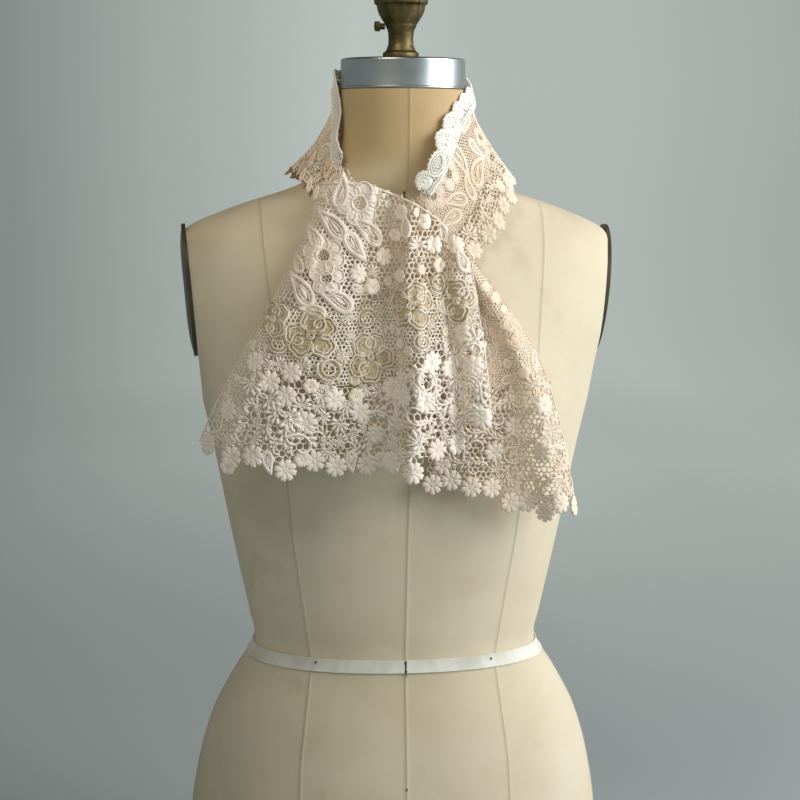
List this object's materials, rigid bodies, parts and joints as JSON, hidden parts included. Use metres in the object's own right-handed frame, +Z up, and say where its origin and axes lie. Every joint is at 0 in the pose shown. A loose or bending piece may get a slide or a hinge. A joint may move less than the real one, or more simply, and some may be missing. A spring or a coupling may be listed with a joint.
{
  "type": "lace scarf on a dress form",
  "caption": "Patchwork lace scarf wound round the neck of a limbless dress form, crossed at the throat, with a wide bib in front and a tail beside it.",
  "frame": {"origin": "centre of the form's flat underside, on which the part stands", "axes": "+Z up along the form, -Y to the form's front, +X to the right of a viewer who faces its front"},
  "size_m": [0.37, 0.2786, 0.8196],
  "materials": {
    "ivory_lace": "ivory guipure lace, matt cotton",
    "beige_lace": "beige corded lace, matt",
    "cream_lace": "cream net lace, matt cotton",
    "white_edging": "white scalloped edging, matt cotton",
    "canvas": "cream canvas over papier mache, worn, matt",
    "tape": "white cotton twill",
    "cap_steel": "spun, brushed round",
    "finial_brass": "aged, olive brown, cast",
    "plate_paint": "dark olive, dull",
    "screw_steel": "dark, worn"
  },
  "bodies": {
    "root": {"bib_paisley_panel": "ivory_lace", "bib_rosette_band": "beige_lace", "bib_flower_border": "ivory_lace", "tail_rosette_panel": "cream_lace", "tail_flower_border": "cream_lace", "collar_right_panel": "cream_lace", "collar_right_border": "cream_lace", "collar_back_panel": "cream_lace", "collar_back_border": "cream_lace", "collar_left_panel": "cream_lace", "collar_left_border": "cream_lace", "edging_right": "white_edging", "edging_back": "white_edging", "edging_left": "white_edging", "form_body": "canvas", "neck_cap": "cap_steel", "finial": "finial_brass", "set_screw": "screw_steel", "arm_plate_left": "plate_paint", "arm_plate_right": "plate_paint", "waist_tape": "tape"}
  },
  "joints": []
}
